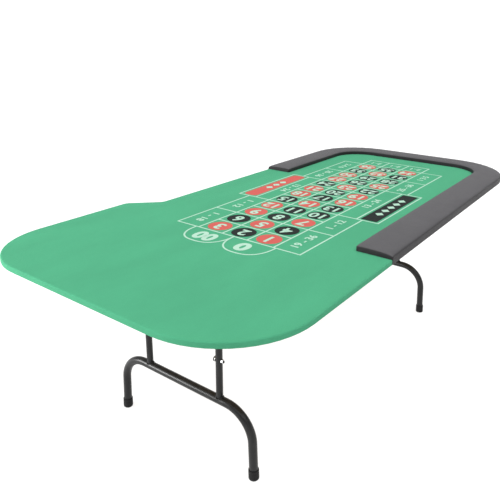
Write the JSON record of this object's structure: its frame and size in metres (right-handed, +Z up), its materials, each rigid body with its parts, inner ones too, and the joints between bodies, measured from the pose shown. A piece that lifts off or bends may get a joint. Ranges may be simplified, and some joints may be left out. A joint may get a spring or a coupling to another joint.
{
  "type": "folding-leg roulette table",
  "caption": "Portable roulette table: cloth-covered top with a stepped edge, padded U rail round the betting end, and two folding wishbone leg frames with knee stays.",
  "frame": {"origin": "on the floor under the centre of the table's bounding box", "axes": "+X from the wheel end to the padded rail end, +Y from the players' straight edge to the stepped dealer's edge, +Z up"},
  "size_m": [2.439, 1.219, 0.781],
  "materials": {
    "green_cloth": "brushed woven speed cloth with a printed betting layout",
    "underlay_foam": "soft closed-cell foam",
    "birch_plywood": "sanded plywood",
    "batten_wood": "planed softwood",
    "black_vinyl": "grained upholstery vinyl, satin",
    "black_tube": "gloss black powder coat on steel tube",
    "black_stay": "satin black paint on flat steel",
    "black_bolt": "blacked steel",
    "zinc_steel": "bright zinc plate",
    "black_rubber": "moulded rubber",
    "black_plastic": "moulded nylon"
  },
  "bodies": {
    "table_top": {"plywood_panel": "birch_plywood", "foam_underlay": "underlay_foam", "playing_cloth": "green_cloth", "near_batten": "batten_wood", "far_batten": "batten_wood", "batten_screws": "zinc_steel", "rail_cover": "black_vinyl", "rail_core": "birch_plywood", "rail_foam": "underlay_foam", "rail_screws": "zinc_steel", "wheel_end_near_stay_bracket": "black_stay", "wheel_end_far_stay_bracket": "black_stay", "wheel_end_stay_rivets": "zinc_steel", "wheel_end_near_pivot_block": "black_plastic", "wheel_end_far_pivot_block": "black_plastic", "wheel_end_storage_cradle": "black_stay", "wheel_end_fixing_screws": "zinc_steel", "rail_end_near_stay_bracket": "black_stay", "rail_end_far_stay_bracket": "black_stay", "rail_end_stay_rivets": "zinc_steel", "rail_end_near_pivot_block": "black_plastic", "rail_end_far_pivot_block": "black_plastic", "rail_end_storage_cradle": "black_stay", "rail_end_fixing_screws": "zinc_steel"},
    "wheel_end_leg": {"wheel_end_wishbone_tube": "black_tube", "wheel_end_near_foot_cap": "black_rubber", "wheel_end_far_foot_cap": "black_rubber", "wheel_end_near_upright": "black_tube", "wheel_end_far_upright": "black_tube", "wheel_end_pivot_tube": "black_tube", "wheel_end_tube_plugs": "black_plastic", "wheel_end_stay_bolts": "black_bolt", "wheel_end_stay_nuts": "zinc_steel", "wheel_end_stay_washers": "zinc_steel"},
    "wheel_end_upper_stays": {"wheel_end_near_upper_stay": "black_stay", "wheel_end_far_upper_stay": "black_stay", "wheel_end_knee_rod": "zinc_steel"},
    "wheel_end_lower_stays": {"wheel_end_near_lower_stay": "black_stay", "wheel_end_far_lower_stay": "black_stay"},
    "rail_end_leg": {"rail_end_wishbone_tube": "black_tube", "rail_end_near_foot_cap": "black_rubber", "rail_end_far_foot_cap": "black_rubber", "rail_end_near_upright": "black_tube", "rail_end_far_upright": "black_tube", "rail_end_pivot_tube": "black_tube", "rail_end_tube_plugs": "black_plastic", "rail_end_stay_bolts": "black_bolt", "rail_end_stay_nuts": "zinc_steel", "rail_end_stay_washers": "zinc_steel"},
    "rail_end_upper_stays": {"rail_end_near_upper_stay": "black_stay", "rail_end_far_upper_stay": "black_stay", "rail_end_knee_rod": "zinc_steel"},
    "rail_end_lower_stays": {"rail_end_near_lower_stay": "black_stay", "rail_end_far_lower_stay": "black_stay"}
  },
  "joints": [
    {"name": "wheel_end_leg_fold", "type": "hinge", "parent": "table_top", "child": "wheel_end_leg", "pos_m": [-0.813, 0, 0.704], "axis": [0, -1, 0], "range_deg": [0, 90]},
    {"name": "wheel_end_upper_stay_fold", "type": "hinge", "parent": "table_top", "child": "wheel_end_upper_stays", "pos_m": [-0.423, 0, 0.729], "axis": [0, 1, 0], "range_deg": [0, 39.28]},
    {"name": "wheel_end_lower_stay_fold", "type": "hinge", "parent": "wheel_end_leg", "child": "wheel_end_lower_stays", "pos_m": [-0.813, 0, 0.41], "axis": [0, -1, 0], "range_deg": [0, 43.7]},
    {"name": "rail_end_leg_fold", "type": "hinge", "parent": "table_top", "child": "rail_end_leg", "pos_m": [0.7, 0, 0.704], "axis": [0, 1, 0], "range_deg": [0, 90]},
    {"name": "rail_end_upper_stay_fold", "type": "hinge", "parent": "table_top", "child": "rail_end_upper_stays", "pos_m": [0.31, 0, 0.729], "axis": [0, -1, 0], "range_deg": [0, 39.28]},
    {"name": "rail_end_lower_stay_fold", "type": "hinge", "parent": "rail_end_leg", "child": "rail_end_lower_stays", "pos_m": [0.7, 0, 0.41], "axis": [0, 1, 0], "range_deg": [0, 43.7]}
  ],
  "couplings": [
    {"joint": "wheel_end_upper_stay_fold", "follows": "wheel_end_leg_fold", "ratio": 0.43646},
    {"joint": "wheel_end_lower_stay_fold", "follows": "wheel_end_leg_fold", "ratio": 0.48559},
    {"joint": "rail_end_upper_stay_fold", "follows": "rail_end_leg_fold", "ratio": 0.43646},
    {"joint": "rail_end_lower_stay_fold", "follows": "rail_end_leg_fold", "ratio": 0.48559}
  ]
}
